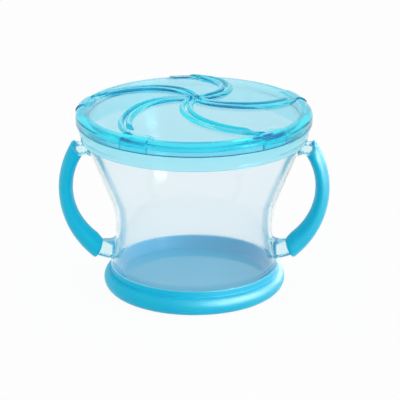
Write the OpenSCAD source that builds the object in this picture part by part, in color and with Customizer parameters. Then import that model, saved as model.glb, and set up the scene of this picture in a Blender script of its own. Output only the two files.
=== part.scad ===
// Toddler snack container.
// A clear bowl with two C-shaped handle arms stands on a soft foot and carries soft grips.
// A lift-off lid snaps over its neck. The lid's soft top is cut into five curved flaps, which
// let a small hand in and close again behind it.
// Origin: centre of the foot's underside. +Z up, +X through the two handles. Millimetres.

/* [Bowl] */
// Outer radius of the bowl at its waist
waist_r = 32.3; // [30:0.1:35]
// Height of the waist above the floor
waist_z = 26.5; // [24:0.5:29]
// Radius of the curve below the waist, in the bowl's half section
lower_curve_r = 56; // [45:1:80]
// Radius of the curve above the waist, in the bowl's half section
upper_curve_r = 36; // [25:1:45]
// Outer radius of the straight neck that the lid goes over
neck_r = 44.8; // [42:0.1:48]
// Height at which the neck starts
neck_z = 64.8; // [63:0.1:67]
// Height of the bowl's rim
rim_z = 73.1; // [72:0.1:78]
// Thickness of the bowl's wall
bowl_wall = 1.5; // [1:0.1:2.2]
// Thickness of the bowl's floor
bowl_floor = 1.6; // [1:0.1:2.5]
// Radius of the cavity's bottom corner
corner_r = 3; // [1:0.5:5]
// How far the bead on the neck stands out
neck_bead = 0.2; // [0.1:0.05:0.4]

/* [Foot] */
// Largest radius of the soft foot
foot_r = 37.65; // [37:0.05:41]
// Height at which the foot is widest
foot_wide_z = 4.1; // [3.4:0.1:5]
// Height of the crease between the foot's shoulder and its lip
foot_crease_z = 7.6; // [6.5:0.1:8.5]
// Height of the foot's lip, where the clear bowl comes out
foot_top_z = 10.2; // [9.4:0.1:11]
// How far the lip stands proud of the bowl
lip_proud = 0.25; // [0.1:0.05:0.6]
// Thickness of the lip beside the bowl's seat
lip_t = 1.2; // [0.8:0.1:1.6]
// Thickness of soft material under the bowl
foot_floor = 3; // [2.2:0.1:3.6]
// Radius of the shallow recess under the foot
recess_r = 29; // [20:0.5:30]
// Depth of that recess
recess_d = 0.8; // [0.3:0.1:1.2]
// Width of the curve that runs under the foot's edge
foot_under_w = 3.6; // [2.4:0.1:4.2]

/* [Handles] */
// How far each grip reaches out past the bowl's neck
grip_reach = 11.2; // [10.5:0.1:13]
// Radius of the grip's outer curve, seen from the front
grip_outer_r = 38.9; // [38:0.1:40]
// Radius of the grip's inner curve, seen from the front
grip_inner_r = 25.5; // [25:0.1:26.2]
// Height of the centre of the outer curve
grip_z = 42.2; // [41.6:0.1:42.8]
// How much higher the inner curve is centred, which thickens the lower half
grip_rise = 0.7; // [0.3:0.1:1.1]
// Thickness of the grip at the height of its widest point
grip_t = 5.9; // [5.5:0.1:6.6]
// Radius of the crown on the grip's outer and inner faces, in cross-section
grip_crown_r = 6.5; // [6:0.1:7.5]
// Greatest depth of the grip, front to back
grip_depth = 10.6; // [10:0.1:11]
// Thickness of the soft skin over the clear arm
grip_skin = 1.2; // [0.9:0.1:1.4]
// Distance from the neck out to the grip's upper end
shoulder_gap = 3.4; // [2.8:0.1:4]
// Height of the slanted face that turns the grip's upper end under the upper stub
tongue_h = 2.2; // [1.6:0.1:2.6]
// Width of that slanted face
tongue_w = 1.9; // [1.4:0.1:2.2]
// How far the tip of that face hangs below the upper stub
tongue_drop = 1.2; // [0.8:0.1:1.6]
// Distance from the neck's radius in to the middle of the grip's lower end
grip_end_inset = 4.8; // [4:0.1:5.4]
// Lean of the grip's lower end face, in degrees
grip_end_lean = 19; // [10:1:25]
// Depth of the clear stubs, front to back
stub_depth = 8; // [6:0.2:8.2]
// Distance from the neck's start down to the top of the upper stub
stub_drop = 2.6; // [2.2:0.1:3]
// Thickness of the upper stub where it leaves the bowl
upper_stub_t = 3.9; // [3.4:0.1:4.4]
// Height of the underside of the lower stub
lower_stub_z = 12; // [11.8:0.1:12.4]
// Thickness of the lower stub
lower_stub_t = 7.6; // [7:0.1:8]
// Bevel along the free corners of the lower stub
stub_bevel = 1.2; // [0.6:0.1:1.6]
// Radius of the fillet between the stubs and the bowl
stub_fillet = 2.5; // [1:0.25:3]

/* [Lid ring] */
// Radial clearance between the lid's snap bead and the bead on the neck
snap_clear = 0.35; // [0.3:0.05:0.5]
// How far the snap bead stands in from the skirt
lid_bead = 0.25; // [0.15:0.05:0.4]
// Thickness of the skirt
skirt_t = 1.1; // [0.8:0.1:1.6]
// Height of the skirt, from its lower edge to the flange
skirt_h = 8.1; // [7.5:0.1:8.4]
// Gap between the flange and the bowl's rim
seat_gap = 0.3; // [0.3:0.05:0.5]
// Thickness of the flange that carries the soft top
flange_t = 1.2; // [0.8:0.1:1.6]
// Distance from the flange down to the seam between the skirt and the soft rim
seam_drop = 1.7; // [1.2:0.1:2.2]
// How far the ledge above the skirt stands out
ledge_w = 1.3; // [0.9:0.1:1.6]
// Height of the cove under that ledge
cove_h = 2.4; // [1.8:0.1:3]
// Half the height of the snap bead
snap_h = 0.8; // [0.6:0.1:1.2]

/* [Soft top] */
// How far the soft rim stands out past the skirt
rim_proud = 1.7; // [1.5:0.1:2.2]
// Width of the soft rim, seen from above
rim_w = 4; // [3.4:0.1:4.6]
// Height of the soft rim above the flange
rim_h = 2.5; // [2.2:0.1:3]
// Rise of the domed top from the rim to its centre
dome_rise = 3.5; // [2.5:0.1:4.5]
// Thickness of the soft top
skin_t = 1; // [0.8:0.1:1.2]
// Distance from the soft rim in to the ends of the slits
slit_margin = 3.4; // [3:0.1:4.5]
// Width of the slits
slit_gap = 0.4; // [0.3:0.05:0.6]
// Gap between a flap and the margin at its hinge line
hinge_gap = 0.5; // [0.4:0.05:0.6]
// How much nearer the centre a hinge line ends, on the next slit, than it starts
hinge_inset = 6; // [4:0.5:8]
// Width of the groove under each hinge line
hinge_groove = 1.2; // [0.8:0.1:1.6]
// Thickness of the web left above that groove
hinge_web = 0.4; // [0.3:0.05:0.5]
// Radius of the small opening where the flaps meet
hub_r = 2.2; // [1.6:0.1:3]
// Angle that a slit turns evenly on its way out, in degrees
swirl_turn = 68; // [50:1:76]
// Further angle that a slit turns close to the rim, in degrees
swirl_hook = 6; // [2:1:10]
// Direction in which the first slit leaves the centre, in degrees
swirl_start = 92; // [0:1:359]
// Height of the raised ribs along both sides of each slit
rib_h = 1.3; // [0.6:0.1:1.8]
// Flat land between a slit and each of its ribs, which keeps them apart as a flap bends
rib_land = 0.4; // [0.3:0.05:0.5]
// Distance that the ribs of a flap stop short of its hinge line
rib_relief = 1.8; // [1.5:0.1:2.4]
// Width of each rib at the centre
rib_w = 2.2; // [1.8:0.1:2.6]
// Widening of each rib for each millimetre out from the centre
rib_growth = 0.06; // [0.03:0.01:0.07]
// Width of the lug where a rib runs on to the soft rim
lug_w = 11.6; // [8:0.2:12]
// Angle from a slit's direction at the rim on to the middle of its lug, in degrees
lug_turn = 2; // [0:0.5:4]
// Height of the lug above the soft rim
lug_h = 0.8; // [0.4:0.1:1.2]

/* [Hidden] */
$fn = 96;
arc_steps = 12;                                  // points along a computed arc
swirl_steps = 18;                                // points along a slit
dome_steps = 6;                                  // rings of the dome
rim_overlap = 0.5;                               // how far the skin runs into the soft rim
flap_count = 5;
flap_angle = 360 / flap_count;
far = 200;                                       // larger than the whole object

clear_pp = [0.86, 0.93, 0.96, 0.45];
blue_tpe = [0.05, 0.68, 0.86];
blue_lid = [0.62, 0.87, 0.94, 0.8];
blue_top = [0.35, 0.78, 0.90, 0.8];

// --- bowl and foot, as half sections: x is the radius, y the height ---

seat_r = below_waist(foot_top_z, 0) + lip_proud - lip_t;   // bowl radius inside the foot
lip_r = below_waist(foot_top_z, 0) + lip_proud;
bead_z = (neck_z + rim_z) / 2;                   // middle of the bead on the neck
bead_half_h = 1;

// Radius of the bowl at height z below the waist, moved inwards by inset
function below_waist(z, inset) =
    let (r = lower_curve_r + inset, h = waist_z - z)
    waist_r - inset + r - sqrt(r * r - h * h);

// Angle up to which the curve above the waist runs before the straight flank starts
function flank_angle(inset) =
    let (r = upper_curve_r + inset,
         dx = neck_r - waist_r - r,
         dz = neck_z - waist_z)
    180 - atan2(dz, dx) - acos(r / norm([dx, dz]));

function flank(inset, low_z) = concat(
    [for (i = [0:arc_steps])
        let (z = low_z + (waist_z - low_z) * i / arc_steps)
        [below_waist(z, inset), z]],
    [for (i = [1:arc_steps])
        let (a = flank_angle(inset) * i / arc_steps, r = upper_curve_r + inset)
        [waist_r - inset + r * (1 - cos(a)), waist_z + r * sin(a)]],
    [[neck_r - inset, neck_z]]);

// Radius of the bowl's outside at height z, anywhere on its curves or flank
function bowl_r(z) = lookup(z, [for (p = flank(0, foot_top_z)) [p[1], p[0]]]);

module bowl_outline() {
    polygon(concat(
        [[0, foot_floor], [seat_r, foot_floor], [seat_r, foot_top_z]],
        flank(0, foot_top_z),
        [[neck_r, bead_z - bead_half_h], [neck_r + neck_bead, bead_z],
         [neck_r, bead_z + bead_half_h], [neck_r, rim_z], [0, rim_z]]));
}

module cavity_outline() {
    floor_z = foot_floor + bowl_floor;
    corner_z = floor_z + corner_r;
    wall_r = min(seat_r - bowl_wall, below_waist(corner_z, bowl_wall));
    polygon(concat(
        [[0, floor_z]],
        [for (i = [0:arc_steps])
            let (a = 90 * i / arc_steps)
            [wall_r - corner_r * (1 - sin(a)), corner_z - corner_r * cos(a)]],
        [[wall_r, foot_top_z]],
        flank(bowl_wall, foot_top_z + bowl_wall),
        [[neck_r - bowl_wall, rim_z + 1], [0, rim_z + 1]]));
}

module foot_outline() {
    crease_r = lip_r - lip_proud;
    under_r = foot_r - foot_under_w;
    polygon(concat(
        [[0, recess_d], [recess_r, recess_d], [recess_r + recess_d, 0]],
        [for (i = [0:arc_steps])
            let (a = 90 * i / arc_steps)
            [under_r + foot_under_w * sin(a), foot_wide_z * (1 - cos(a))]],
        [for (i = [1:arc_steps])
            let (a = 90 * i / arc_steps)
            [crease_r + (foot_r - crease_r) * cos(a),
             foot_wide_z + (foot_crease_z - foot_wide_z) * sin(a)]],
        [[lip_r, foot_top_z], [0, foot_top_z]]));
}

// --- handles: the grip is a crowned barrel less a crowned opening, both turned about Y ---

grip_x = neck_r + grip_reach;                    // outermost point of the grip
grip_outer_x = grip_x - grip_outer_r;
grip_inner_x = grip_x - grip_t - grip_inner_r;
grip_inner_z = grip_z + grip_rise;
stub_top_z = neck_z - stub_drop;
stub_under_z = stub_top_z - upper_stub_t;
grip_top_z = stub_top_z + grip_skin;
shoulder_x = neck_r + shoulder_gap;
tongue = [shoulder_x - tongue_w, stub_under_z - tongue_drop];
lower_stub_top = lower_stub_z + lower_stub_t;
arm_root = grip_skin;                            // how far the arm runs on into the stubs

// Distance from the axis to the grip's lower end face at height z
function end_x(z) = neck_r - grip_end_inset + (lower_stub_z + lower_stub_t / 2 - z) * tan(grip_end_lean);

module barrel(radius, half_depth) {
    rotate([90, 0, 0]) rotate_extrude() intersection() {
        union() {
            translate([0, -grip_crown_r]) square([radius - grip_crown_r, 2 * grip_crown_r]);
            translate([radius - grip_crown_r, 0]) circle(grip_crown_r);
        }
        translate([0, -half_depth]) square([radius, 2 * half_depth]);
    }
}

module crowned_hole(radius) {
    rotate([90, 0, 0]) rotate_extrude() difference() {
        translate([0, -grip_crown_r]) square([radius + grip_crown_r, 2 * grip_crown_r]);
        translate([radius + grip_crown_r, 0]) circle(grip_crown_r);
    }
}

// The whole ring that grip and arm are cut from, inset from the grip's surface
module handle_ring(inset) {
    difference() {
        translate([grip_outer_x, 0, grip_z])
            barrel(grip_outer_r - inset, grip_depth / 2 - inset);
        translate([grip_inner_x, 0, grip_inner_z])
            crowned_hole(grip_inner_r + inset);
    }
}

// A plate in the plane of the handles, as deep as given, from an outline in x and z
module handle_plate(depth) {
    rotate([90, 0, 0]) linear_extrude(depth, center = true) children();
}

// Where the grip covers the arm, or the arm's own length with root added at both ends
module grip_region(root) {
    polygon([[end_x(0) - root, 0], [end_x(grip_z) - root, grip_z],
             tongue - [tongue_w + root, tongue_h], [shoulder_x - root, tongue[1] + tongue_h],
             [shoulder_x - root, grip_top_z], [far, grip_top_z], [far, 0]]);
}

module lower_stub_outline() {
    root_r = bowl_r(lower_stub_top);
    inner_r = waist_r - bowl_wall;
    polygon(concat(
        [[inner_r, lower_stub_z], [end_x(lower_stub_z) - stub_bevel, lower_stub_z],
         [end_x(lower_stub_z + stub_bevel), lower_stub_z + stub_bevel],
         [end_x(lower_stub_top - stub_bevel), lower_stub_top - stub_bevel],
         [end_x(lower_stub_top) - stub_bevel, lower_stub_top]],
        [for (i = [0:arc_steps])
            let (a = 90 * i / arc_steps)
            [root_r + stub_fillet * (1 - sin(a)), lower_stub_top + stub_fillet * (1 - cos(a))]],
        [[inner_r, lower_stub_top + stub_fillet]]));
}

// The upper stub's underside falls to the tongue of the grip
module upper_stub_outline() {
    root_r = bowl_r(stub_under_z);
    polygon([[root_r - bowl_wall, stub_top_z], [shoulder_x, stub_top_z],
             [shoulder_x, tongue[1] + tongue_h], tongue, [root_r + stub_fillet / 2, stub_under_z],
             [root_r - bowl_wall, stub_under_z - stub_fillet]]);
}

// The clear arm of one handle, with its two stubs run into the bowl's wall
module arm() {
    intersection() {
        handle_ring(grip_skin);
        handle_plate(grip_depth) intersection() {
            grip_region(arm_root);
            translate([0, lower_stub_z]) square([far, stub_top_z - lower_stub_z]);
        }
    }
    handle_plate(stub_depth) {
        lower_stub_outline();
        upper_stub_outline();
    }
}

module grip() {
    color(blue_tpe) difference() {
        intersection() {
            handle_ring(0);
            handle_plate(grip_depth) grip_region(0);
        }
        arm();
    }
}

module bowl() {
    color(clear_pp) difference() {
        union() {
            rotate_extrude() bowl_outline();
            arm();
            mirror([1, 0, 0]) arm();
        }
        rotate_extrude() cavity_outline();
    }
}

module foot_base() {
    color(blue_tpe) rotate_extrude() difference() {
        foot_outline();
        bowl_outline();
    }
}

module left_grip() { mirror([1, 0, 0]) grip(); }
module right_grip() { grip(); }

// --- lid: a rigid ring with a skirt, and a soft top whose rim wraps it ---

bead_r = neck_r + neck_bead + snap_clear;        // inside of the snap bead
skirt_in_r = bead_r + lid_bead;
skirt_r = skirt_in_r + skirt_t;
flange_z = rim_z + seat_gap;
flange_top_z = flange_z + flange_t;
flange_in_r = neck_r - bowl_wall;
skirt_z = flange_z - skirt_h;
seam_z = flange_z - seam_drop;
ring_r = skirt_r + ledge_w / 2;                  // outside of the ring under the soft rim
soft_r = skirt_r + rim_proud;                    // widest radius of the lid
dome_r = soft_r - rim_w;                         // where the domed top starts
dome_z = flange_top_z + rim_h;                   // height of the top surface there
dome_sphere_r = (dome_r * dome_r + dome_rise * dome_rise) / (2 * dome_rise);
slit_r = dome_r - slit_margin;
crown_flat = 0.3;                                // flat between the crown's top and the dome
crown_w = rim_w - crown_flat;
seam_step = 0.3;                                 // step in the soft rim above the seam
lug_clear = 0.8;                                 // distance from the slits' ends out to the lugs
rib_taper = 0.6;                                 // width of a rib's tip for each millimetre out
lug_from = 25;                                   // where a lug starts on the crown, in degrees

module lid_ring() {
    snap_z = skirt_z + 2 * snap_h;
    color(blue_lid) rotate_extrude() polygon([
        [skirt_in_r, skirt_z], [skirt_r, skirt_z], [skirt_r, seam_z - cove_h],
        [skirt_r + ledge_w / 3, seam_z - cove_h / 2], [skirt_r + ledge_w, seam_z], [ring_r, seam_z],
        [ring_r, flange_top_z], [flange_in_r, flange_top_z], [flange_in_r, flange_z],
        [skirt_in_r, flange_z], [skirt_in_r, snap_z + snap_h], [bead_r, snap_z],
        [skirt_in_r, snap_z - snap_h]]);
}

// Point on the crown of the soft rim, from its widest edge at 0 degrees to its top at 90
function crown(a, proud) =
    [soft_r - crown_w * (1 - cos(a)) + proud * cos(a),
     flange_top_z + (dome_z - flange_top_z) * sin(a) + proud * sin(a)];
function crown_arc(from, proud) =
    [for (i = [0:arc_steps]) crown(from + (90 - from) * i / arc_steps, proud)];

// Half section of the soft rim, from the seam over the crown to the start of the dome
module soft_rim_outline() {
    polygon(concat(
        [[ring_r, seam_z], [soft_r - seam_step, seam_z]],
        crown_arc(0, 0),
        [[dome_r, dome_z], [dome_r, dome_z - skin_t], [flange_in_r, flange_top_z + skin_t],
         [flange_in_r, flange_top_z], [ring_r, flange_top_z]]));
}

// Height of the domed top at radius r
function dome_top(r) = dome_z + dome_rise - dome_sphere_r + sqrt(dome_sphere_r * dome_sphere_r - r * r);

// The domed skin between two heights above and below its top surface, from radius from_r to to_r
module dome(above, below, from_r, to_r) {
    radii = [for (i = [0:dome_steps]) from_r + (to_r - from_r) * i / dome_steps];
    rotate_extrude() polygon(concat(
        [for (r = radii) [r, dome_top(r) + above]],
        [for (i = [dome_steps:-1:0]) [radii[i], dome_top(radii[i]) - below]]));
}

// Angle of a slit at radius r, measured from the direction in which it leaves the centre
function swirl(r) = swirl_turn * r / dome_r + swirl_hook * pow(r / dome_r, 8);
function polar(r, a) = [r * cos(a), r * sin(a)];
function along(i, from, to) = from + (to - from) * i / swirl_steps;
function slit_start(k) = swirl_start + flap_angle * (k - 1);
function arc_angle(width, r) = 180 / PI * width / r;

// The flaps are equal, so one is drawn at the direction of the second slit and turned into place
model_slit = 2;
model_start = slit_start(model_slit);

// The hinge axis lies in the top surface, from one slit's outer end to a point on the next slit
hinge_from = polar(slit_r, model_start + swirl(slit_r));
hinge_to = polar(slit_r - hinge_inset, model_start + flap_angle + swirl(slit_r - hinge_inset));
hinge_normal = atan2(hinge_to[1] - hinge_from[1], hinge_to[0] - hinge_from[0]) - 90;
hinge_reach = hinge_from * polar(1, hinge_normal);     // distance from the centre to the line
hinge_start = hinge_from * polar(1, hinge_normal + 90);
hinge_end = hinge_to * polar(1, hinge_normal + 90);

module turned(k) { rotate(flap_angle * (k - model_slit)) children(); }

// Outline of one flap between its two slits, each side moved in by gap, out to a line at reach
module flap_outline(gap, inner_r, reach) {
    intersection() {
        polygon(concat(
            [for (i = [0:swirl_steps])
                let (r = along(i, inner_r, slit_r))
                polar(r, model_start + swirl(r) + arc_angle(gap, r))],
            [for (i = [swirl_steps:-1:0])
                let (r = along(i, inner_r, slit_r))
                polar(r, model_start + flap_angle + swirl(r) - arc_angle(gap, r))]));
        rotate(hinge_normal) translate([reach - far, -far / 2]) square(far);
    }
}

// Rib along one side of a slit: side is 1 for the flap that starts there, -1 for the one before
module rib_outline(side) {
    polygon(concat(
        [for (i = [0:swirl_steps])
            let (r = along(i, hub_r, dome_r))
            polar(r, model_start + swirl(r) + side * arc_angle(slit_gap / 2 + rib_land, r))],
        [for (i = [swirl_steps:-1:0])
            let (r = along(i, hub_r, dome_r), width = min(rib_w, rib_taper * r) + rib_growth * r)
            polar(r, model_start + swirl(r) + side * arc_angle(width, r))]));
}

module column() { linear_extrude(far) children(); }

module flap(k) {
    color(blue_top) turned(k) {
        intersection() {
            dome(0, skin_t, 0, dome_r);
            column() flap_outline(slit_gap / 2, hub_r, hinge_reach - hinge_gap);
        }
        intersection() {
            dome(rib_h, skin_t / 2, 0, dome_r);
            column() intersection() {
                union() {
                    rib_outline(1);
                    rotate(flap_angle) rib_outline(-1);
                }
                flap_outline(slit_gap / 2, hub_r, hinge_reach - hinge_gap - rib_relief);
            }
        }
    }
}

// Lug that carries the end of a rib over the soft rim
module lug() {
    rotate(model_start + swirl(dome_r) + lug_turn) rotate([90, 0, 0])
        linear_extrude(lug_w, center = true) polygon(concat(
            [crown(lug_from, -skin_t / 2)],
            crown_arc(lug_from, lug_h),
            [[slit_r + lug_clear, dome_z + lug_h], [slit_r + lug_clear, dome_z - skin_t / 2],
             [dome_r, dome_z - skin_t / 2]]));
}

// Room for one flap, and for the groove that lets it bend down, as a strip along the hinge line
module flap_room(groove) {
    flap_outline(-slit_gap / 2, hub_r / 2, hinge_reach);
    rotate(hinge_normal) translate([hinge_reach - hinge_gap, hinge_start - hinge_gap])
        square([hinge_gap + groove, hinge_end - hinge_start]);
}

// The skin outside the hinge lines, seen from above
module margin_outline(groove) {
    difference() {
        circle(dome_r + rim_overlap);
        for (k = [1:flap_count]) turned(k) flap_room(groove);
    }
}

module flap_margin() {
    inner_r = hinge_reach - hinge_gap;
    outer_r = dome_r + rim_overlap;
    color(blue_top) {
        rotate_extrude() soft_rim_outline();
        intersection() {
            dome(0, hinge_web, inner_r, outer_r);
            column() margin_outline(0);
        }
        intersection() {
            dome(-hinge_web / 2, skin_t, inner_r, outer_r);
            column() margin_outline(hinge_groove);
        }
        for (k = [1:flap_count]) turned(k) {
            lug();
            intersection() {
                dome(rib_h, hinge_web / 2, inner_r, outer_r);
                column() difference() {
                    rib_outline(-1);
                    rotate(-flap_angle) flap_room(rib_land);
                }
            }
        }
    }
}

bowl();
foot_base();
left_grip();
right_grip();
lid_ring();
flap_margin();
flap(1);  // flap_1
flap(2);  // flap_2
flap(3);  // flap_3
flap(4);  // flap_4
flap(5);  // flap_5
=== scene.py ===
import math

import bmesh
import bpy
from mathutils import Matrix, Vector


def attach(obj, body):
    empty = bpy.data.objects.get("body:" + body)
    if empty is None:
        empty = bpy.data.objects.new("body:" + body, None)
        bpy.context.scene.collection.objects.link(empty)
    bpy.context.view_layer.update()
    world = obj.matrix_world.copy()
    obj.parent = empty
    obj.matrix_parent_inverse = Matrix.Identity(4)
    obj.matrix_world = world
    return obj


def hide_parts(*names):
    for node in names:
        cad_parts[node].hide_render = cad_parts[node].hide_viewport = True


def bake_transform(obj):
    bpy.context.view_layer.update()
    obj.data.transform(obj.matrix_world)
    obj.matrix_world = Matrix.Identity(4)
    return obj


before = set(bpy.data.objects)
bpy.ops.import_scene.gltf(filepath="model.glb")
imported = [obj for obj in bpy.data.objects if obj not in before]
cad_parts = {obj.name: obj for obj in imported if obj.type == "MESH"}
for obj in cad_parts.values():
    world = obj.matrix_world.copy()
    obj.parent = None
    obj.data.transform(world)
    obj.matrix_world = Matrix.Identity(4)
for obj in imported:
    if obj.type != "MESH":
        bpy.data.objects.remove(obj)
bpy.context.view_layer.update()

# A two-handled snack container: a clear bowl with a soft foot and two soft grips, and a lid
# whose soft top is cut into five flaps. Each moulded shot is one piece.
#
# Sizes below are in millimetres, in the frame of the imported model: +Z up, +X through the
# two handles, origin at the centre of the foot's underside.
MM = 0.001
TURN = 2 * math.pi

# Bowl
WAIST_R = 32.3
WAIST_Z = 26.5
LOWER_CURVE_R = 56.0                # the wall's hollow below the waist, and above it
UPPER_CURVE_R = 36.0
NECK_R = 44.8
NECK_Z = 64.8
NECK_BLEND = 1.2                    # length over which the flare turns into the upright neck
RIM_Z = 73.1
BOWL_WALL = 1.5
BOWL_FLOOR = 1.6
BOWL_CORNER_R = 3.0

# Foot
FOOT_R = 37.65
FOOT_WIDE_Z = 4.1                   # height at which the foot is widest
FOOT_CREASE_Z = 7.6                 # crease between the foot's roll and the lip
FOOT_TOP_Z = 10.2
FOOT_UNDER_W = 3.6                  # width over which the roll curls in under the foot
FOOT_ROLL_END = 84                  # degrees; short of level, which leaves the crease
FOOT_FLOOR = 3.0
LIP_PROUD = 0.25
LIP_T = 1.2
RECESS_R = 29.0                     # shallow recess in the underside
RECESS_D = 0.8

# Stubs, the clear arms of the bowl on which the grips sit
LOWER_STUB_Z = 12.0
LOWER_STUB_TOP = 19.6
STUB_UNDER_Z = 58.3
STUB_TOP_Z = 62.2
STUB_HALF_D = 4.0

# Grips: the outer and the inner face are arcs, each with a radius and a centre in X and Z
GRIP_OUTER_R = 38.895
GRIP_OUTER_C = (17.1, 42.2)
GRIP_INNER_R = 25.5
GRIP_INNER_C = (24.6, 42.9)
GRIP_ARC = (-52, 33)                # degrees about the inner centre
GRIP_DEPTH = 10.6
GRIP_RIDGE = 0.46                   # how far from the inner to the outer face the ridge lies
GRIP_END_X = 40.0
GRIP_END_LEAN = math.radians(19)
GRIP_END_IN_Z = 20.4                # the slanted lower end, at its inner and outer corner
GRIP_END_OUT_Z = 12.6
GRIP_END_ROUND = 1.4
GRIP_TOP_Z = 62.9
GRIP_TOP_ROUND = 1.25
GRIP_BROW_Z = 56.0                  # above this the grip narrows from front to back
GRIP_BROW_RISE = 6.3
SHOULDER_X = 48.2
TONGUE = (46.3, 57.1)               # tip of the grip's tongue, under the upper stub
TONGUE_H = 2.2
TONGUE_OUT_Z = 60.35                # height of the outer face across from the tongue's tip

# Lid
SKIRT_IN_R = 45.6
SKIRT_R = 46.7
SKIRT_Z = 65.3
SKIRT_SWELL_Z = 67.9                # the skirt's taper opens a little faster above this
SEAM_Z = 71.7
FLANGE_Z = 73.4
FLANGE_TOP_Z = 74.6
FLANGE_IN_R = 43.3
RING_R = 47.35
LEDGE_R = 48.0
BEAD_Z = 66.9                       # the bead that snaps under the bowl's rim
BEAD_HALF_H = 0.8
BEAD_PROUD = 0.25
SOFT_R = 48.4
LOWER_EDGE_TOP_Z = 72.2                    # top of the soft rim's lower edge, below which the rim is painted with the seam's shade
CROWN_W = 3.7                       # width of the soft rim's rounded top
DOME_R = 44.4                       # where the domed skin meets the rim
DOME_Z = 77.1
DOME_RISE = 3.5
SKIN_T = 1.0

# Slits, ribs and lugs of the soft top
FLAPS = 5
SLIT_R = 41.0                       # radius at which a slit ends
SLIT_GAP = 0.3
HUB_R = 2.2                         # small hole between the flaps' tips
SWIRL_TURN = 68.0                   # degrees that a slit turns on its way to the rim
SWIRL_HOOK = 6.0                    # degrees that it turns on top of that near its end
SWIRL_START = 92.0                  # direction in which the first slit leaves the hub
RIB_H = 1.28
RIB_W = 2.2
RIB_GROWTH = 0.06                   # width that a rib gains for each millimetre from the hub
RIB_LAND = 0.4                      # flat strip between a slit and its rib
INNER_RIB_END_R = 38.4              # where the rib on a slit's inner side begins to sink
INNER_RIB_FADE = 1.6
LUG_W = 11.6
LUG_TURN = 2.0                      # degrees by which a lug's middle lies past its slit
LUG_H = 0.5
LUG_IN_R = 41.4                     # radius at which a lug begins, on the skin
LUG_IN_STEP = 0.6                   # length over which a lug rises out of the skin
LUG_SIDE_STEP = 0.4                 # width over which it rises out of the rim

SEAT_GAP = 0.03                     # air left between pieces that touch
BOND = 0.03                         # depth to which the foot is moulded onto the bowl

# Sections that a lathed piece has round its axis
BOWL_SECTIONS = 192
RING_SECTIONS = 240
RIM_SECTIONS = 300


# ---------------------------------------------------------------- meshes

def finish_mesh(name, verts, faces, sharp_degrees=38):
    """Makes an object from points in millimetres, with edges above the angle kept crisp."""
    mesh = bpy.data.meshes.new(name)
    mesh.from_pydata([(x * MM, y * MM, z * MM) for x, y, z in verts], [], faces)
    bm = bmesh.new()
    bm.from_mesh(mesh)
    bmesh.ops.recalc_face_normals(bm, faces=bm.faces)
    for face in bm.faces:
        face.smooth = True
    for edge in bm.edges:
        edge.smooth = edge.calc_face_angle(0.0) < math.radians(sharp_degrees)
    bm.to_mesh(mesh)
    bm.free()
    obj = bpy.data.objects.new(name, mesh)
    bpy.context.collection.objects.link(obj)
    return obj


def smooth(t):
    """Goes from 0 to 1 as t does, gently at both ends, and stays there beyond them."""
    t = min(1.0, max(0.0, t))
    return t * t * (3 - 2 * t)


def superpower(value, power):
    """A sine or cosine for a superellipse: 2 gives an oval, more squares it, less sharpens it."""
    return math.copysign(abs(value) ** (2 / power), value)


def arc(cx, cz, rx, rz, start, end, steps):
    """Points on a round or oval arc in a half section, with angles in degrees."""
    points = []
    for i in range(steps + 1):
        a = math.radians(start + (end - start) * i / steps)
        points.append((cx + rx * math.cos(a), cz + rz * math.sin(a)))
    return points


def bend(first, corner, last, steps):
    """Points on the curve from first to last that leaves both towards the corner."""
    points = []
    for i in range(steps + 1):
        t = i / steps
        p = first * (1 - t) ** 2 + corner * 2 * t * (1 - t) + last * t ** 2
        points.append((p.x, p.y))
    return points


def rounded(corners, steps=5):
    """Replaces each corner (x, z, radius) of an outline with a curve of about that radius."""
    points = []
    for i, (x, z, r) in enumerate(corners):
        if r == 0:
            points.append((x, z))
            continue
        here = Vector((x, z))
        back = Vector(corners[i - 1][:2]) - here
        ahead = Vector(corners[(i + 1) % len(corners)][:2]) - here
        half = back.angle(ahead) / 2
        reach = min(r / math.tan(half), back.length * 0.48, ahead.length * 0.48)
        first = here + back.normalized() * reach
        last = here + ahead.normalized() * reach
        points += bend(first, here, last, steps)
    return points


def even_angles(count):
    """Directions spread evenly round the axis."""
    return [TURN * i / count for i in range(count)]


def lathe(outline, angles, proud=None):
    """Turns an outline of (radius, height) about Z, closed, or open where it meets the axis.
    proud(i, angle) gives a shift (dr, dz) of outline point i at that angle."""
    verts = []
    rows = []
    for i, (r, z) in enumerate(outline):
        if r < 1e-6:
            verts.append((0.0, 0.0, z))
            rows.append([len(verts) - 1] * len(angles))
            continue
        row = []
        for a in angles:
            dr, dz = proud(i, a) if proud else (0.0, 0.0)
            verts.append(((r + dr) * math.cos(a), (r + dr) * math.sin(a), z + dz))
            row.append(len(verts) - 1)
        rows.append(row)
    faces = []
    on_axis = outline[0][0] < 1e-6
    for i in range(len(rows) - (1 if on_axis else 0)):
        low = rows[i]
        high = rows[(i + 1) % len(rows)]
        for j in range(len(angles)):
            k = (j + 1) % len(angles)
            ring = [low[j], low[k], high[k], high[j]]
            face = [v for n, v in enumerate(ring) if v != ring[n - 1]]
            if len(face) > 2:
                faces.append(face)
    return verts, faces


def loft(sections):
    """Skins a list of closed sections of equal length, and closes both ends with a fan."""
    count = len(sections[0])
    verts = [p for section in sections for p in section]
    faces = []
    for i in range(len(sections) - 1):
        low = i * count
        high = low + count
        for j in range(count):
            k = (j + 1) % count
            faces.append((low + j, low + k, high + k, high + j))
    for section, start in ((sections[0], 0), (sections[-1], (len(sections) - 1) * count)):
        centre = sum((Vector(p) for p in section), Vector()) / count
        verts.append(tuple(centre))
        for j in range(count):
            faces.append((start + j, start + (j + 1) % count, len(verts) - 1))
    return verts, faces


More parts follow.
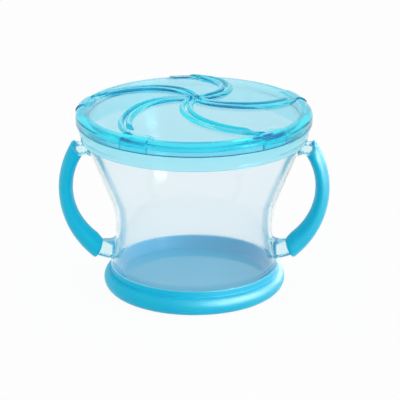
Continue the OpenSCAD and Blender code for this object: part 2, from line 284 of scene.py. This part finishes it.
def join_solid(target, extra):
    """Adds another closed mesh to the target's solid."""
    union = target.modifiers.new("union", "BOOLEAN")
    union.operation = "UNION"
    union.solver = "EXACT"
    union.object = extra
    bpy.context.view_layer.update()
    evaluated = target.evaluated_get(bpy.context.evaluated_depsgraph_get())
    mesh = bpy.data.meshes.new_from_object(evaluated)
    target.modifiers.clear()
    target.data = mesh
    bpy.data.objects.remove(extra)


# ---------------------------------------------------------------- bowl and foot

def below_waist(z, inset):
    """Radius of the bowl at a height below its waist, moved in by inset."""
    r = LOWER_CURVE_R + inset
    return WAIST_R - inset + r - math.sqrt(r * r - (WAIST_Z - z) ** 2)


def flank(inset, low_z):
    """Half section of the bowl's wall from low_z up to the neck, moved in by inset."""
    steps = 24
    points = []
    for i in range(steps + 1):
        z = low_z + (WAIST_Z - low_z) * i / steps
        points.append((below_waist(z, inset), z))
    r = UPPER_CURVE_R + inset
    dx = NECK_R - WAIST_R - r
    dz = NECK_Z - WAIST_Z
    last = math.pi - math.atan2(dz, dx) - math.acos(r / math.hypot(dx, dz))
    for i in range(1, steps + 1):
        a = last * i / steps
        points.append((WAIST_R - inset + r * (1 - math.cos(a)), WAIST_Z + r * math.sin(a)))
    corner = Vector((NECK_R - inset, NECK_Z))
    flare = (corner - Vector(points[-1])).normalized()
    top = corner + Vector((0, NECK_BLEND))
    return points + bend(corner - flare * NECK_BLEND, corner, top, 8)


def lip_r():
    """Radius of the foot's lip, from which the bowl's wall rises."""
    return below_waist(FOOT_TOP_Z, 0) + LIP_PROUD


def bowl_outline():
    """Half section of the bowl: underside, outer wall, rolled rim, inner wall and floor."""
    seat_r = lip_r() - LIP_T + BOND
    floor_z = FOOT_FLOOR + BOWL_FLOOR
    corner_r = seat_r - BOWL_WALL - BOWL_CORNER_R
    half_wall = BOWL_WALL / 2
    outside = rounded([(0.0, FOOT_FLOOR - BOND, 0), (seat_r, FOOT_FLOOR - BOND, 0.2),
                       (seat_r, FOOT_TOP_Z - BOND, 0)])
    outside += flank(0, FOOT_TOP_Z - BOND)
    rim = arc(NECK_R - half_wall, RIM_Z - half_wall, half_wall, half_wall, 0, 180, 12)
    inside = flank(BOWL_WALL, FOOT_TOP_Z + BOWL_WALL)[::-1]
    corner = arc(corner_r, floor_z + BOWL_CORNER_R, BOWL_CORNER_R, BOWL_CORNER_R, 0, -90, 12)
    return outside + rim + inside + corner + [(0.0, floor_z)]


def foot_outline():
    """Half section of the foot: recess, underside, roll, crease, lip and the bowl's seat."""
    crease_r = lip_r() - LIP_PROUD
    under_r = FOOT_R - FOOT_UNDER_W
    seat_r = lip_r() - LIP_T
    roll_w = FOOT_R - crease_r
    roll_h = FOOT_CREASE_Z - FOOT_WIDE_Z
    points = rounded([(0.0, RECESS_D, 0), (RECESS_R, RECESS_D, 0.6),
                      (RECESS_R + RECESS_D, 0.0, 0.6), (under_r, 0.0, 0)])
    points += arc(under_r, FOOT_WIDE_Z, FOOT_UNDER_W, FOOT_WIDE_Z, -90, 0, 16)[1:]
    points += arc(crease_r, FOOT_WIDE_Z, roll_w, roll_h, 0, FOOT_ROLL_END, 20)[1:]
    points += rounded([(points[-1][0], points[-1][1], 0), (crease_r, FOOT_CREASE_Z, 0.5),
                       (lip_r(), FOOT_TOP_Z, 0.4), (seat_r, FOOT_TOP_Z, 0.3),
                       (seat_r, FOOT_FLOOR, 0.3), (0.0, FOOT_FLOOR, 0)])[1:]
    return points


# ---------------------------------------------------------------- stubs

def stub_section(x, low, high, half_d, side):
    """Squarish section across a stub, between two heights."""
    count = 40
    power = 5
    mid = (low + high) / 2
    points = []
    for i in range(count):
        a = TURN * i / count
        h = (high - low) / 2 * superpower(math.cos(a), power)
        points.append((side * x, half_d * superpower(math.sin(a), power), mid + h))
    return points


def stub(name, side, run, low, high, flare, core, steps):
    """A clear stub on the +X or -X side. Its bare part lies over run, an x range, between
    low and high, each with its value at the first and the last x. At the wall it widens by
    flare, which is (down, up, to each side). The core is hidden in the grip, and lists
    (x, low z, high z, half depth)."""
    sections = []
    for i in range(steps + 1):
        t = i / steps
        root = (1 - t) ** 3
        x = run[0] + (run[1] - run[0]) * t
        z_low = low[0] + (low[1] - low[0]) * t - flare[0] * root
        z_high = high[0] + (high[1] - high[0]) * t + flare[1] * root
        sections.append(stub_section(x, z_low, z_high, STUB_HALF_D + flare[2] * root, side))
    sections += [stub_section(*station, side) for station in core]
    verts, faces = loft(sections)
    return finish_mesh(name, verts, faces)


def lower_stub(side):
    top = LOWER_STUB_TOP - 0.1
    core = ((38.0, 12.9, 19.3, 4.0), (40.0, 13.6, 19.1, 3.9), (42.0, 14.6, 19.6, 3.4))
    return stub("lower_stub", side, run=(31.6, 36.0), low=(LOWER_STUB_Z, LOWER_STUB_Z + 0.4),
                high=(top, top), flare=(1.2, 2.6, 1.6), core=core, steps=12)


def upper_stub(side):
    core = ((46.6, 57.3, 62.1, 3.9), (48.4, 57.9, 61.9, 3.6), (50.2, 58.6, 61.4, 3.2))
    return stub("upper_stub", side, run=(42.3, 45.5), low=(STUB_UNDER_Z, STUB_UNDER_Z - 0.6),
                high=(STUB_TOP_Z, STUB_TOP_Z), flare=(1.2, 0.6, 1.2), core=core, steps=8)


# ---------------------------------------------------------------- grips

def grip_point(angle, share):
    """A point at an angle about the inner centre, from the inner (0) to the outer (1) face."""
    ux = math.cos(angle)
    uz = math.sin(angle)
    dx = GRIP_INNER_C[0] - GRIP_OUTER_C[0]
    dz = GRIP_INNER_C[1] - GRIP_OUTER_C[1]
    dot = dx * ux + dz * uz
    outer = -dot + math.sqrt(dot * dot - dx * dx - dz * dz + GRIP_OUTER_R ** 2)
    r = GRIP_INNER_R + (outer - GRIP_INNER_R) * share
    return Vector((GRIP_INNER_C[0] + r * ux, GRIP_INNER_C[1] + r * uz))


def outer_at(z):
    """The point of the grip's outer face at a height."""
    dz = z - GRIP_OUTER_C[1]
    return Vector((GRIP_OUTER_C[0] + math.sqrt(GRIP_OUTER_R ** 2 - dz * dz), z))


def outer_run(a, b, t):
    """A point between a and b, moved out onto the grip's outer face."""
    centre = Vector(GRIP_OUTER_C)
    p = a.lerp(b, t) - centre
    return centre + p.normalized() * GRIP_OUTER_R


def end_x(z):
    """Where the grip's slanted lower end lies at a height."""
    mid_z = (LOWER_STUB_Z + LOWER_STUB_TOP) / 2
    return GRIP_END_X + (mid_z - z) * math.tan(GRIP_END_LEAN)


def half_depth(z):
    """Half the grip's depth, which rounds over towards its top like the end of a finger."""
    t = max(0.0, (z - GRIP_BROW_Z) / GRIP_BROW_RISE)
    return GRIP_DEPTH / 2 * math.sqrt(1 - t * t)


def grip_section(inner, outer, half_d, side):
    """Lens across the grip between two points, with a soft ridge along its front and back."""
    face_power = 2.1
    ridge_power = 1.55
    mid = inner.lerp(outer, GRIP_RIDGE)
    points = []
    count = 48
    for i in range(count):
        a = TURN * i / count
        along = superpower(math.cos(a), face_power)
        depth = superpower(math.sin(a), ridge_power)
        reach = (outer - mid) if math.cos(a) > 0 else (mid - inner)
        p = mid + reach * along
        points.append((side * p.x, half_d * depth, p.y))
    return points


def end_cap(pair, inside, side, radius):
    """Sections that round off a grip's end over a small radius, outermost first."""
    inner, outer = pair
    half_d = half_depth(outer.y)
    mid = (inner + outer) / 2
    out = (mid - (inside[0] + inside[1]) / 2).normalized()
    sections = []
    steps = 5
    for i in range(steps):
        a = math.radians(90 * i / steps)
        inset = radius * (1 - math.sin(a))
        push = out * radius * math.cos(a)
        scale = 1 - inset / (outer - inner).length * 2
        p = mid + (inner - mid) * scale + push
        q = mid + (outer - mid) * scale + push
        sections.append(grip_section(p, q, half_d - inset, side))
    return sections


def grip_lower_end():
    """Pairs of inner and outer points from the slanted end to where the arcs begin."""
    first = math.radians(GRIP_ARC[0])
    low_in = Vector((end_x(GRIP_END_IN_Z), GRIP_END_IN_Z))
    low_out = outer_at(GRIP_END_OUT_Z)
    pairs = []
    steps = 7
    for i in range(steps):
        t = i / steps
        pairs.append((low_in.lerp(grip_point(first, 0), t),
                      outer_run(low_out, grip_point(first, 1), t)))
    return pairs


def grip_arc():
    """Pairs of inner and outer points along the two arcs."""
    first, last = (math.radians(a) for a in GRIP_ARC)
    pairs = []
    steps = 60
    for i in range(steps + 1):
        a = first + (last - first) * i / steps
        pairs.append((grip_point(a, 0), grip_point(a, 1)))
    return pairs


def grip_top():
    """Pairs of inner and outer points round the tongue and up the shoulder by the stub."""
    tip_x, tip_z = TONGUE
    shoulder_z = tip_z + TONGUE_H
    last_z = GRIP_TOP_Z - GRIP_TOP_ROUND
    return [(Vector((tip_x, tip_z)), outer_at(TONGUE_OUT_Z)),
            (Vector((tip_x + 0.9, tip_z + 1.1)), outer_at(TONGUE_OUT_Z + 0.3)),
            (Vector((SHOULDER_X - 0.1, shoulder_z)), outer_at(TONGUE_OUT_Z + 0.55)),
            (Vector((SHOULDER_X, shoulder_z + 0.7)), outer_at(TONGUE_OUT_Z + 0.8)),
            (Vector((SHOULDER_X, shoulder_z + 1.5)), outer_at(TONGUE_OUT_Z + 1.05)),
            (Vector((SHOULDER_X, last_z)), outer_at(last_z))]


def grip(name, side):
    """One C-shaped grip, from its slanted lower end up to the tongue and shoulder at its top."""
    pairs = grip_lower_end() + grip_arc() + grip_top()
    sections = end_cap(pairs[0], pairs[1], side, GRIP_END_ROUND)
    sections += [grip_section(a, b, half_depth(b.y), side) for a, b in pairs]
    sections += end_cap(pairs[-1], pairs[-2], side, GRIP_TOP_ROUND)[::-1]
    verts, faces = loft(sections)
    return finish_mesh(name, verts, faces, sharp_degrees=60)


# ---------------------------------------------------------------- lid

def ring_outline():
    """Half section of the rigid ring: tapered skirt, ledge, flange and the snap bead inside."""
    bead_low = BEAD_Z - BEAD_HALF_H
    bead_high = BEAD_Z + BEAD_HALF_H
    return rounded([
        (SKIRT_IN_R, SKIRT_Z, 0.3), (SKIRT_R, SKIRT_Z, 0.35), (SKIRT_R + 0.35, SKIRT_SWELL_Z, 4.0),
        (LEDGE_R, SEAM_Z - 0.5, 0.4), (LEDGE_R - 0.2, SEAM_Z, 0.2), (RING_R, SEAM_Z, 0.1),
        (RING_R, FLANGE_TOP_Z, 0.3), (FLANGE_IN_R, FLANGE_TOP_Z, 0.3), (FLANGE_IN_R, FLANGE_Z, 0.3),
        (SKIRT_IN_R, FLANGE_Z, 0.3), (SKIRT_IN_R, bead_high, 0.4),
        (SKIRT_IN_R - BEAD_PROUD, BEAD_Z, 0.4), (SKIRT_IN_R, bead_low, 0.4)])


def dome_top(r):
    """Height of the domed skin's top at a radius."""
    sphere_r = (DOME_R ** 2 + DOME_RISE ** 2) / (2 * DOME_RISE)
    return DOME_Z + DOME_RISE - sphere_r + math.sqrt(sphere_r ** 2 - r * r)


def swirl(r):
    """Angle through which a slit has turned at radius r, in degrees."""
    return SWIRL_TURN * r / DOME_R + SWIRL_HOOK * (r / DOME_R) ** 8


def slit_start(k):
    """Direction in which slit k leaves the hub, in degrees."""
    return SWIRL_START + 360 / FLAPS * (k - 1)


def lug_start(k):
    """Direction of the clockwise side of lug k, in radians."""
    half_lug = math.degrees(LUG_W / 2 / DOME_R)
    return math.radians(slit_start(k) + swirl(DOME_R) + LUG_TURN - half_lug)


def lug_height(angle):
    """How far a lug stands proud of the rim in a direction in radians, 0 between lugs."""
    for k in range(1, FLAPS + 1):
        x = (angle - lug_start(k)) % TURN * DOME_R
        if x < LUG_W:
            return LUG_H * smooth(x / LUG_SIDE_STEP) * smooth((LUG_W - x) / LUG_SIDE_STEP)
    return 0.0


def rim_angles():
    """Directions of the soft rim's sections, crowded at the two sides of each lug."""
    pitch = 0.13
    angles = even_angles(RIM_SECTIONS)
    for k in range(1, FLAPS + 1):
        for x in (0, LUG_W):
            for i in range(-6, 7):
                angles.append((lug_start(k) + (x + i * pitch) / DOME_R) % TURN)
    return sorted(set(round(a, 5) for a in angles))


def soft_rim():
    """The thick rim of the soft top, with a raised lug where each rib crosses it."""
    seat_r = RING_R + SEAT_GAP
    seat_z = FLANGE_TOP_Z + SEAT_GAP
    low_z = SEAM_Z + SEAT_GAP
    join_r = DOME_R + SEAT_GAP
    skirt = rounded([(seat_r, low_z, 0.1), (SOFT_R - 0.2, low_z, 0.12),
                     (SOFT_R, SEAM_Z + 0.25, 0.12), (SOFT_R, LOWER_EDGE_TOP_Z, 0),
                     (SOFT_R, FLANGE_TOP_Z, 0)])[:-1]
    crown = arc(SOFT_R - CROWN_W, FLANGE_TOP_Z, CROWN_W, DOME_Z - FLANGE_TOP_Z, 0, 90, 32)
    inside = [(join_r, DOME_Z), (join_r, DOME_Z - SKIN_T - 0.2),
              (FLANGE_IN_R, FLANGE_TOP_Z + SKIN_T), (FLANGE_IN_R, seat_z), (seat_r, seat_z)]
    outline = skirt + crown + inside
    skin_edge = len(skirt) + len(crown)         # the last point that a lug lifts

    def proud(i, angle):
        """Moves a lug outwards on the rim's side and upwards on its top."""
        if outline[i][1] <= LOWER_EDGE_TOP_Z or i > skin_edge:
            return 0.0, 0.0
        share = (i - len(skirt)) / (len(crown) - 1)
        up = math.radians(90 * max(0.0, min(1.0, share)))
        height = lug_height(angle)
        return height * math.cos(up), height * math.sin(up)

    verts, faces = lathe(outline, rim_angles(), proud)
    return finish_mesh("soft_rim", verts, faces)


def rib_width(r):
    """Width of a rib with its land, which is narrower where the ribs crowd at the hub."""
    return min(RIB_W, 0.6 * r) + RIB_GROWTH * r


def rib_height(x, r):
    """Height of the rounded rib at distance x from its slit."""
    land = RIB_LAND + SLIT_GAP / 2
    half = (rib_width(r) - land) / 2
    t = (x - land - half) / half
    if half <= 0 or abs(t) >= 1:
        return 0.0
    return RIB_H * math.sqrt(1 - t * t)


def across_flap(r):
    """Distances from one slit to the next at radius r, closest together over the two ribs.
    At the hub the two ribs take up nearly the whole flap."""
    gap = (SLIT_GAP if r < SLIT_R else SEAT_GAP) / 2
    total = TURN / FLAPS * r
    width = min(rib_width(r), total * 0.47)
    land = min(RIB_LAND + SLIT_GAP / 2, width * 0.4)
    side = [gap, gap + (land - gap) * 0.3]
    rib_steps = 16
    for i in range(rib_steps + 1):
        side.append(land + (width - land) * (1 - math.cos(math.pi * i / rib_steps)) / 2)
    skin_steps = 20
    middle = [width + (total - 2 * width) * i / skin_steps for i in range(1, skin_steps)]
    return side + middle + [total - x for x in side[::-1]]


def flap_angle(k, x, r):
    """Direction of a point of flap k at distance x from slit k, at radius r."""
    return math.radians(slit_start(k) + swirl(r) + math.degrees(x / r))


def flap_height(k, x, r):
    """Height above the dome at distance x from slit k, at radius r."""
    inner_rib = rib_height(x, r) * (1 - smooth((r - INNER_RIB_END_R) / INNER_RIB_FADE))
    outer_rib = rib_height(TURN / FLAPS * r - x, r)
    lug = lug_height(flap_angle(k, x, r)) * smooth((r - LUG_IN_R) / LUG_IN_STEP)
    return max(inner_rib, outer_rib, lug)


def flap_skin(k):
    """One fifth of the domed skin, from slit k to slit k + 1 and from the hub to the rim,
    where its rows of points lie a little closer together."""
    steps = 80
    crowding = 0.9
    tops = []
    unders = []
    for i in range(steps + 1):
        r = HUB_R + (DOME_R - HUB_R) * (i / steps) ** crowding
        for x in across_flap(r):
            a = flap_angle(k, x, r)
            tops.append((r * math.cos(a), r * math.sin(a), dome_top(r) + flap_height(k, x, r)))
            unders.append((r * math.cos(a), r * math.sin(a), dome_top(r) - SKIN_T))
    rows = steps + 1
    cols = len(tops) // rows
    base = len(tops)
    faces = []
    for i in range(rows - 1):
        for j in range(cols - 1):
            a = i * cols + j
            quad = (a, a + 1, a + cols + 1, a + cols)
            faces.append(quad)
            faces.append(tuple(base + v for v in quad[::-1]))
    edge = list(range(cols))
    edge += [i * cols + cols - 1 for i in range(1, rows)]
    edge += [(rows - 1) * cols + j for j in range(cols - 2, -1, -1)]
    edge += [i * cols for i in range(rows - 2, 0, -1)]
    for n, a in enumerate(edge):
        b = edge[(n + 1) % len(edge)]
        faces.append((a, b, base + b, base + a))
    return finish_mesh("flap_skin_%d" % k, tops + unders, faces, sharp_degrees=50)


# ---------------------------------------------------------------- materials

# The texture that a mould leaves has a grain of about 0.1 mm, too fine to show. It is drawn
# as coarse as it needs to show: 1.5 mm on polished surfaces and 0.8 mm on satin ones.
POLISHED_GRAIN_MM = 1.5
SATIN_GRAIN_MM = 0.8
FLOW_MM = 12.0                      # patches in which the melt cooled alike and shines alike
PIGMENT_MM = 18.0                   # clouds of more and less pigment in the opaque compound
NOISE_LOW = 0.35                    # nearly all of a noise's values lie between these
NOISE_HIGH = 0.65

# Red, green and blue that a plastic spares on the light's way through it. Its density, per
# metre, says how fast it takes the rest.
CLEAR_TINT = (0.15, 0.84, 0.9, 1.0)
CYAN_TINT = (0.0, 0.985, 0.995, 1.0)


def colour(hex_code):
    """Linear RGBA from an sRGB hex code."""
    channels = []
    for i in (0, 2, 4):
        c = int(hex_code[i:i + 2], 16) / 255
        channels.append(c / 12.92 if c <= 0.04045 else ((c + 0.055) / 1.055) ** 2.4)
    return (*channels, 1.0)


def new_material(name):
    """A material whose node tree is still empty, and that tree."""
    material = bpy.data.materials.new(name)
    material.use_nodes = True
    material.node_tree.nodes.clear()
    return material, material.node_tree


def add_node(tree, kind, settings=None, inputs=None):
    """Adds a node, sets its properties, and sets or links its inputs."""
    node = tree.nodes.new(kind)
    for key, value in (settings or {}).items():
        setattr(node, key, value)
    for key, value in (inputs or {}).items():
        if isinstance(value, bpy.types.NodeSocket):
            tree.links.new(value, node.inputs[key])
        else:
            node.inputs[key].default_value = value
    return node


def moulded_surface(tree, grain_mm, roughness_low, roughness_high, bump_mm):
    """What the mould leaves on a surface: returns a roughness that drifts between two values
    from patch to patch, and the normal of a fine grain bump_mm deep."""
    place = add_node(tree, "ShaderNodeTexCoord")
    grain = add_node(tree, "ShaderNodeTexNoise", None, {
        "Vector": place.outputs["Object"], "Scale": 1 / (grain_mm * MM), "Detail": 3.0})
    flow = add_node(tree, "ShaderNodeTexNoise", None, {
        "Vector": place.outputs["Object"], "Scale": 1 / (FLOW_MM * MM), "Detail": 2.0})
    rough = add_node(tree, "ShaderNodeMapRange", None, {
        "Value": flow.outputs["Fac"], "From Min": NOISE_LOW, "From Max": NOISE_HIGH,
        "To Min": roughness_low, "To Max": roughness_high})
    bump = add_node(tree, "ShaderNodeBump", None, {
        "Height": grain.outputs["Fac"], "Strength": 0.4, "Distance": bump_mm * MM})
    return rough.outputs["Result"], bump.outputs["Normal"]


def clear_plastic(name, ior, roughness, skin_hex, tint, density, bump_mm, clarity=1.0):
    """A see-through moulded plastic, which looks darker and deeper the more of it lies along
    the view. The skin colour is what its surface keeps of the light at any thickness, and
    tint and density say what the depth takes. Light on its way to another surface finds it
    plainly clear, so what is in it and behind it stays lit."""
    material, tree = new_material(name)
    rough, normal = moulded_surface(tree, POLISHED_GRAIN_MM, roughness * 0.7, roughness * 1.4,
                                    bump_mm)
    shell = add_node(tree, "ShaderNodeBsdfPrincipled", None, {
        "Base Color": colour(skin_hex), "Transmission Weight": clarity, "IOR": ior,
        "Roughness": rough, "Normal": normal})
    clear = add_node(tree, "ShaderNodeBsdfTransparent", None, {"Color": colour("F6FBFD")})
    path = add_node(tree, "ShaderNodeLightPath")
    lighting = add_node(tree, "ShaderNodeMath", {"operation": "MAXIMUM"}, {
        0: path.outputs["Is Shadow Ray"], 1: path.outputs["Is Diffuse Ray"]})
    mix = add_node(tree, "ShaderNodeMixShader", None, {
        0: lighting.outputs[0], 1: shell.outputs[0], 2: clear.outputs[0]})
    depth = add_node(tree, "ShaderNodeVolumeAbsorption", None, {"Color": tint, "Density": density})
    add_node(tree, "ShaderNodeOutputMaterial", None, {
        "Surface": mix.outputs[0], "Volume": depth.outputs[0]})
    return material


def soft_plastic(name, base_hex, light_hex):
    """Opaque moulded thermoplastic elastomer. To the eye it is satin and a little waxy: broad
    soft highlights, light that sinks in by about 2 mm, and a paler edge where it turns away."""
    material, tree = new_material(name)
    rough, normal = moulded_surface(tree, SATIN_GRAIN_MM, roughness_low=0.36,
                                    roughness_high=0.46, bump_mm=0.02)
    place = add_node(tree, "ShaderNodeTexCoord")
    clouds = add_node(tree, "ShaderNodeTexNoise", None, {
        "Vector": place.outputs["Object"], "Scale": 1 / (PIGMENT_MM * MM), "Detail": 3.0})
    base = add_node(tree, "ShaderNodeMix", {"data_type": "RGBA"}, {
        "Factor": clouds.outputs["Fac"], "A": colour(base_hex), "B": colour(light_hex)})
    skin = add_node(tree, "ShaderNodeBsdfPrincipled", None, {
        "Base Color": base.outputs["Result"], "Roughness": rough, "Normal": normal, "IOR": 1.5,
        "Subsurface Weight": 0.2, "Subsurface Radius": (0.2, 0.8, 1.0), "Subsurface Scale": 0.002,
        "Specular IOR Level": 0.1, "Coat Weight": 0.5, "Coat Roughness": 0.48, "Coat IOR": 1.38,
        "Sheen Weight": 0.15, "Sheen Roughness": 0.3, "Sheen Tint": colour("8FE0F5")})
    add_node(tree, "ShaderNodeOutputMaterial", None, {"Surface": skin.outputs[0]})
    return material


def set_material(obj, material):
    """Gives a whole piece one material."""
    obj.data.materials.clear()
    obj.data.materials.append(material)


def paint_shade_below(obj, material, top_z):
    """Gives the faces below a height their own material: here a dark painted shade along the rim's
    lower edge.
    """
    obj.data.materials.append(material)
    slot = len(obj.data.materials) - 1
    for face in obj.data.polygons:
        if all(obj.data.vertices[v].co.z < top_z * MM for v in face.vertices):
            face.material_index = slot


def paint_lug_shade(obj, material):
    """Gives the outside of the rim's lugs, above its lower edge, their own material: a darker
    painted shade.
    """
    obj.data.materials.append(material)
    slot = len(obj.data.materials) - 1
    for face in obj.data.polygons:
        x, y, z = face.center / MM
        outside = z > LOWER_EDGE_TOP_Z and math.hypot(x, y) > RING_R
        if outside and lug_height(math.atan2(y, x)) > 0:
            face.material_index = slot


# ---------------------------------------------------------------- camera, lamps and floor

def aim(obj, target):
    """Turns a camera or lamp towards a point."""
    obj.rotation_euler = (Vector(target) - obj.location).to_track_quat("-Z", "Y").to_euler()


def add_camera():
    """A long lens in front of the object, which looks down on it by the elevation."""
    camera_mm = 195.6
    distance = 0.9
    elevation = math.radians(19.66)
    target = Vector((0.0024, 0.0, 0.03716))
    camera = bpy.data.objects.new("camera", bpy.data.cameras.new("camera"))
    bpy.context.collection.objects.link(camera)
    camera.location = target + distance * Vector((0, -math.cos(elevation), math.sin(elevation)))
    aim(camera, target)
    camera.data.lens = camera_mm
    camera.data.sensor_width = 36.0
    camera.data.clip_start = 0.01
    bpy.context.scene.camera = camera


def add_lamp(name, place, size, watts):
    """A round white lamp of a size in metres, aimed at the middle of the object."""
    lamp = bpy.data.objects.new(name, bpy.data.lights.new(name, "AREA"))
    bpy.context.collection.objects.link(lamp)
    lamp.data.shape = "DISK"
    lamp.data.size = size
    lamp.data.energy = watts
    lamp.location = place
    aim(lamp, (0, 0, 0.04))
    return lamp


def add_gloss_panel(name, place, size, watts, pieces):
    """A large panel that shows only as a soft sheen on the given satin pieces."""
    panel = add_lamp(name, place, size, watts)
    panel.visible_diffuse = False
    panel.visible_transmission = False
    receivers = bpy.data.collections.new(name + "_receivers")
    for piece in pieces:
        receivers.objects.link(piece)
    panel.light_linking.receiver_collection = receivers


def seen_directly(tree):
    """1 on rays from the camera, in reflections and through clear plastic, else 0."""
    path = add_node(tree, "ShaderNodeLightPath")
    either = add_node(tree, "ShaderNodeMath", {"operation": "MAXIMUM"}, {
        0: path.outputs["Is Camera Ray"], 1: path.outputs["Is Glossy Ray"]})
    any_of_three = add_node(tree, "ShaderNodeMath", {"operation": "MAXIMUM"}, {
        0: either.outputs[0], 1: path.outputs["Is Transmission Ray"]})
    return any_of_three.outputs[0]


def set_world(ambient):
    """White surroundings, seen at full strength and lighting the object at the ambient one."""
    world = bpy.data.worlds.new("studio")
    world.use_nodes = True
    tree = world.node_tree
    tree.nodes.clear()
    strength = add_node(tree, "ShaderNodeMapRange", None, {
        "Value": seen_directly(tree), "To Min": ambient, "To Max": 1.0})
    light = add_node(tree, "ShaderNodeBackground", None, {
        "Color": colour("FFFFFF"), "Strength": strength.outputs["Result"]})
    add_node(tree, "ShaderNodeOutputWorld", None, {"Surface": light.outputs[0]})
    bpy.context.scene.world = world


def add_floor(glow_share):
    """Matt white paper under the object. Seen directly it is nearly all glow, which keeps it
    white, and the rest takes the object's shadow."""
    half = 3000.0
    drop = 0.05
    corners = ((-half, -half), (half, -half), (half, half), (-half, half))
    floor = finish_mesh("floor", [(x, y, -drop) for x, y in corners], [(0, 1, 2, 3)])
    material, tree = new_material("matt white paper")
    paper = add_node(tree, "ShaderNodeBsdfDiffuse", None, {"Color": colour("F2F2F2")})
    glow = add_node(tree, "ShaderNodeEmission", None, {"Color": colour("FFFFFF"), "Strength": 1.0})
    share = add_node(tree, "ShaderNodeMath", {"operation": "MULTIPLY"}, {
        0: seen_directly(tree), 1: glow_share})
    mix = add_node(tree, "ShaderNodeMixShader", None, {
        0: share.outputs[0], 1: paper.outputs[0], 2: glow.outputs[0]})
    add_node(tree, "ShaderNodeOutputMaterial", None, {"Surface": mix.outputs[0]})
    set_material(floor, material)


# ---------------------------------------------------------------- the scene

add_camera()
add_lamp("key_lamp", place=(1.0, -0.8, 0.4), size=0.45, watts=2.6)
set_world(ambient=0.8)
add_floor(glow_share=0.94)

# Clear polypropylene off a polished mould: see-through with a trace of milk, a soft gloss,
# and blue-grey where a wall is seen edge on. Its IOR is a little under the real 1.49, which
# keeps the lines along its edges soft.
clear_pp = clear_plastic("clear moulded polypropylene", ior=1.45, roughness=0.06,
                         skin_hex="FDFCFE", tint=CLEAR_TINT, density=52.0, bump_mm=0.003,
                         clarity=0.97)

# The same plastic with cyan pigment off a duller mould: an even pale blue band, a little
# frosted, through which the bowl's rim shows as a blur.
tinted_pp = clear_plastic("tinted moulded polypropylene", ior=1.47, roughness=0.12,
                          skin_hex="D4F6FF", tint=CYAN_TINT, density=150.0, bump_mm=0.002)

# Clear elastomer with cyan pigment, moulded thick: rubbery and wet-looking, pale where it is
# thin and deep cyan where the view runs along it. Its IOR is a little under the real 1.5,
# which keeps the reflections inside it few and soft.
rim_tpe = clear_plastic("tinted moulded TPE, rim", ior=1.42, roughness=0.06,
                        skin_hex="D0F4FF", tint=CYAN_TINT, density=420.0, bump_mm=0.006)

# The lugs are solid blocks of it. Their outside gets a darker skin and a denser tint than the
# rim's, which is painted shade that makes them show as dark blocks.
shaded_lug_tpe = clear_plastic("tinted moulded TPE, shaded lug", ior=1.42, roughness=0.08,
                        skin_hex="B0F4FF", tint=CYAN_TINT, density=700.0, bump_mm=0.006)

# Painted shade: the rim's lower edge, where it meets the ring, gets a dark, dull colour that stands
# in for the shadow in that groove, as one dark line round the rim.
seam_shade_tpe = clear_plastic("tinted moulded TPE, painted seam shade", ior=1.42, roughness=0.3,
                         skin_hex="2C7EA6", tint=CYAN_TINT, density=700.0, bump_mm=0.006)

# A millimetre of the same elastomer: nearly clear, with colour only in the ribs.
flap_tpe = clear_plastic("tinted moulded TPE, skin", ior=1.42, roughness=0.05,
                         skin_hex="ECEBF6", tint=CYAN_TINT, density=400.0, bump_mm=0.006)

# Elastomer filled with opaque cyan pigment, off a fine-grained mould: an even, waxy satin
# with no sharp reflections.
solid_tpe = soft_plastic("satin moulded TPE", "00C0E6", "00CCEC")

verts, faces = lathe(bowl_outline(), even_angles(BOWL_SECTIONS))
bowl = finish_mesh("clear_bowl", verts, faces)
for side in (1, -1):
    join_solid(bowl, lower_stub(side))
    join_solid(bowl, upper_stub(side))
set_material(bowl, clear_pp)
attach(bowl, "container")
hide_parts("bowl")

verts, faces = lathe(foot_outline(), even_angles(BOWL_SECTIONS))
foot = finish_mesh("soft_foot", verts, faces, sharp_degrees=60)
set_material(foot, solid_tpe)
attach(foot, "container")
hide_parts("foot_base")

grips = {}
for name, side in (("left_grip", -1), ("right_grip", 1)):
    grips[name] = grip("soft_" + name, side)
    set_material(grips[name], solid_tpe)
    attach(grips[name], "container")
    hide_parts(name)

# Both panels stand to the right, so the left grip has no sheen.
lit_pieces = [foot, grips["right_grip"]]
add_gloss_panel("front_gloss_panel", place=(0.95, -0.55, 0.4), size=1.8, watts=205.0,
                pieces=lit_pieces)
add_gloss_panel("side_gloss_panel", place=(0.75, 0.95, 0.4), size=1.1, watts=32.0,
                pieces=lit_pieces)

verts, faces = lathe(ring_outline(), even_angles(RING_SECTIONS))
ring = finish_mesh("snap_ring", verts, faces)
set_material(ring, tinted_pp)
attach(ring, "lid")
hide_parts("lid_ring")

rim = soft_rim()
set_material(rim, rim_tpe)
# The rim's lower edge gets the dark painted shade of the seam.
paint_shade_below(rim, seam_shade_tpe, LOWER_EDGE_TOP_Z + SEAT_GAP)
# The outside of the lugs gets the darker painted shade.
paint_lug_shade(rim, shaded_lug_tpe)
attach(rim, "lid")
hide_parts("flap_margin")

for k in range(1, FLAPS + 1):
    skin = flap_skin(k)
    set_material(skin, flap_tpe)
    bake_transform(skin)
    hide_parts("flap_%d" % k)

# A ray may cross the lid and both walls of the bowl several times before it leaves.
bounces = 64
bpy.context.scene.view_settings.view_transform = "Standard"
bpy.context.scene.cycles.max_bounces = bounces
bpy.context.scene.cycles.transmission_bounces = bounces
bpy.context.scene.cycles.glossy_bounces = bounces
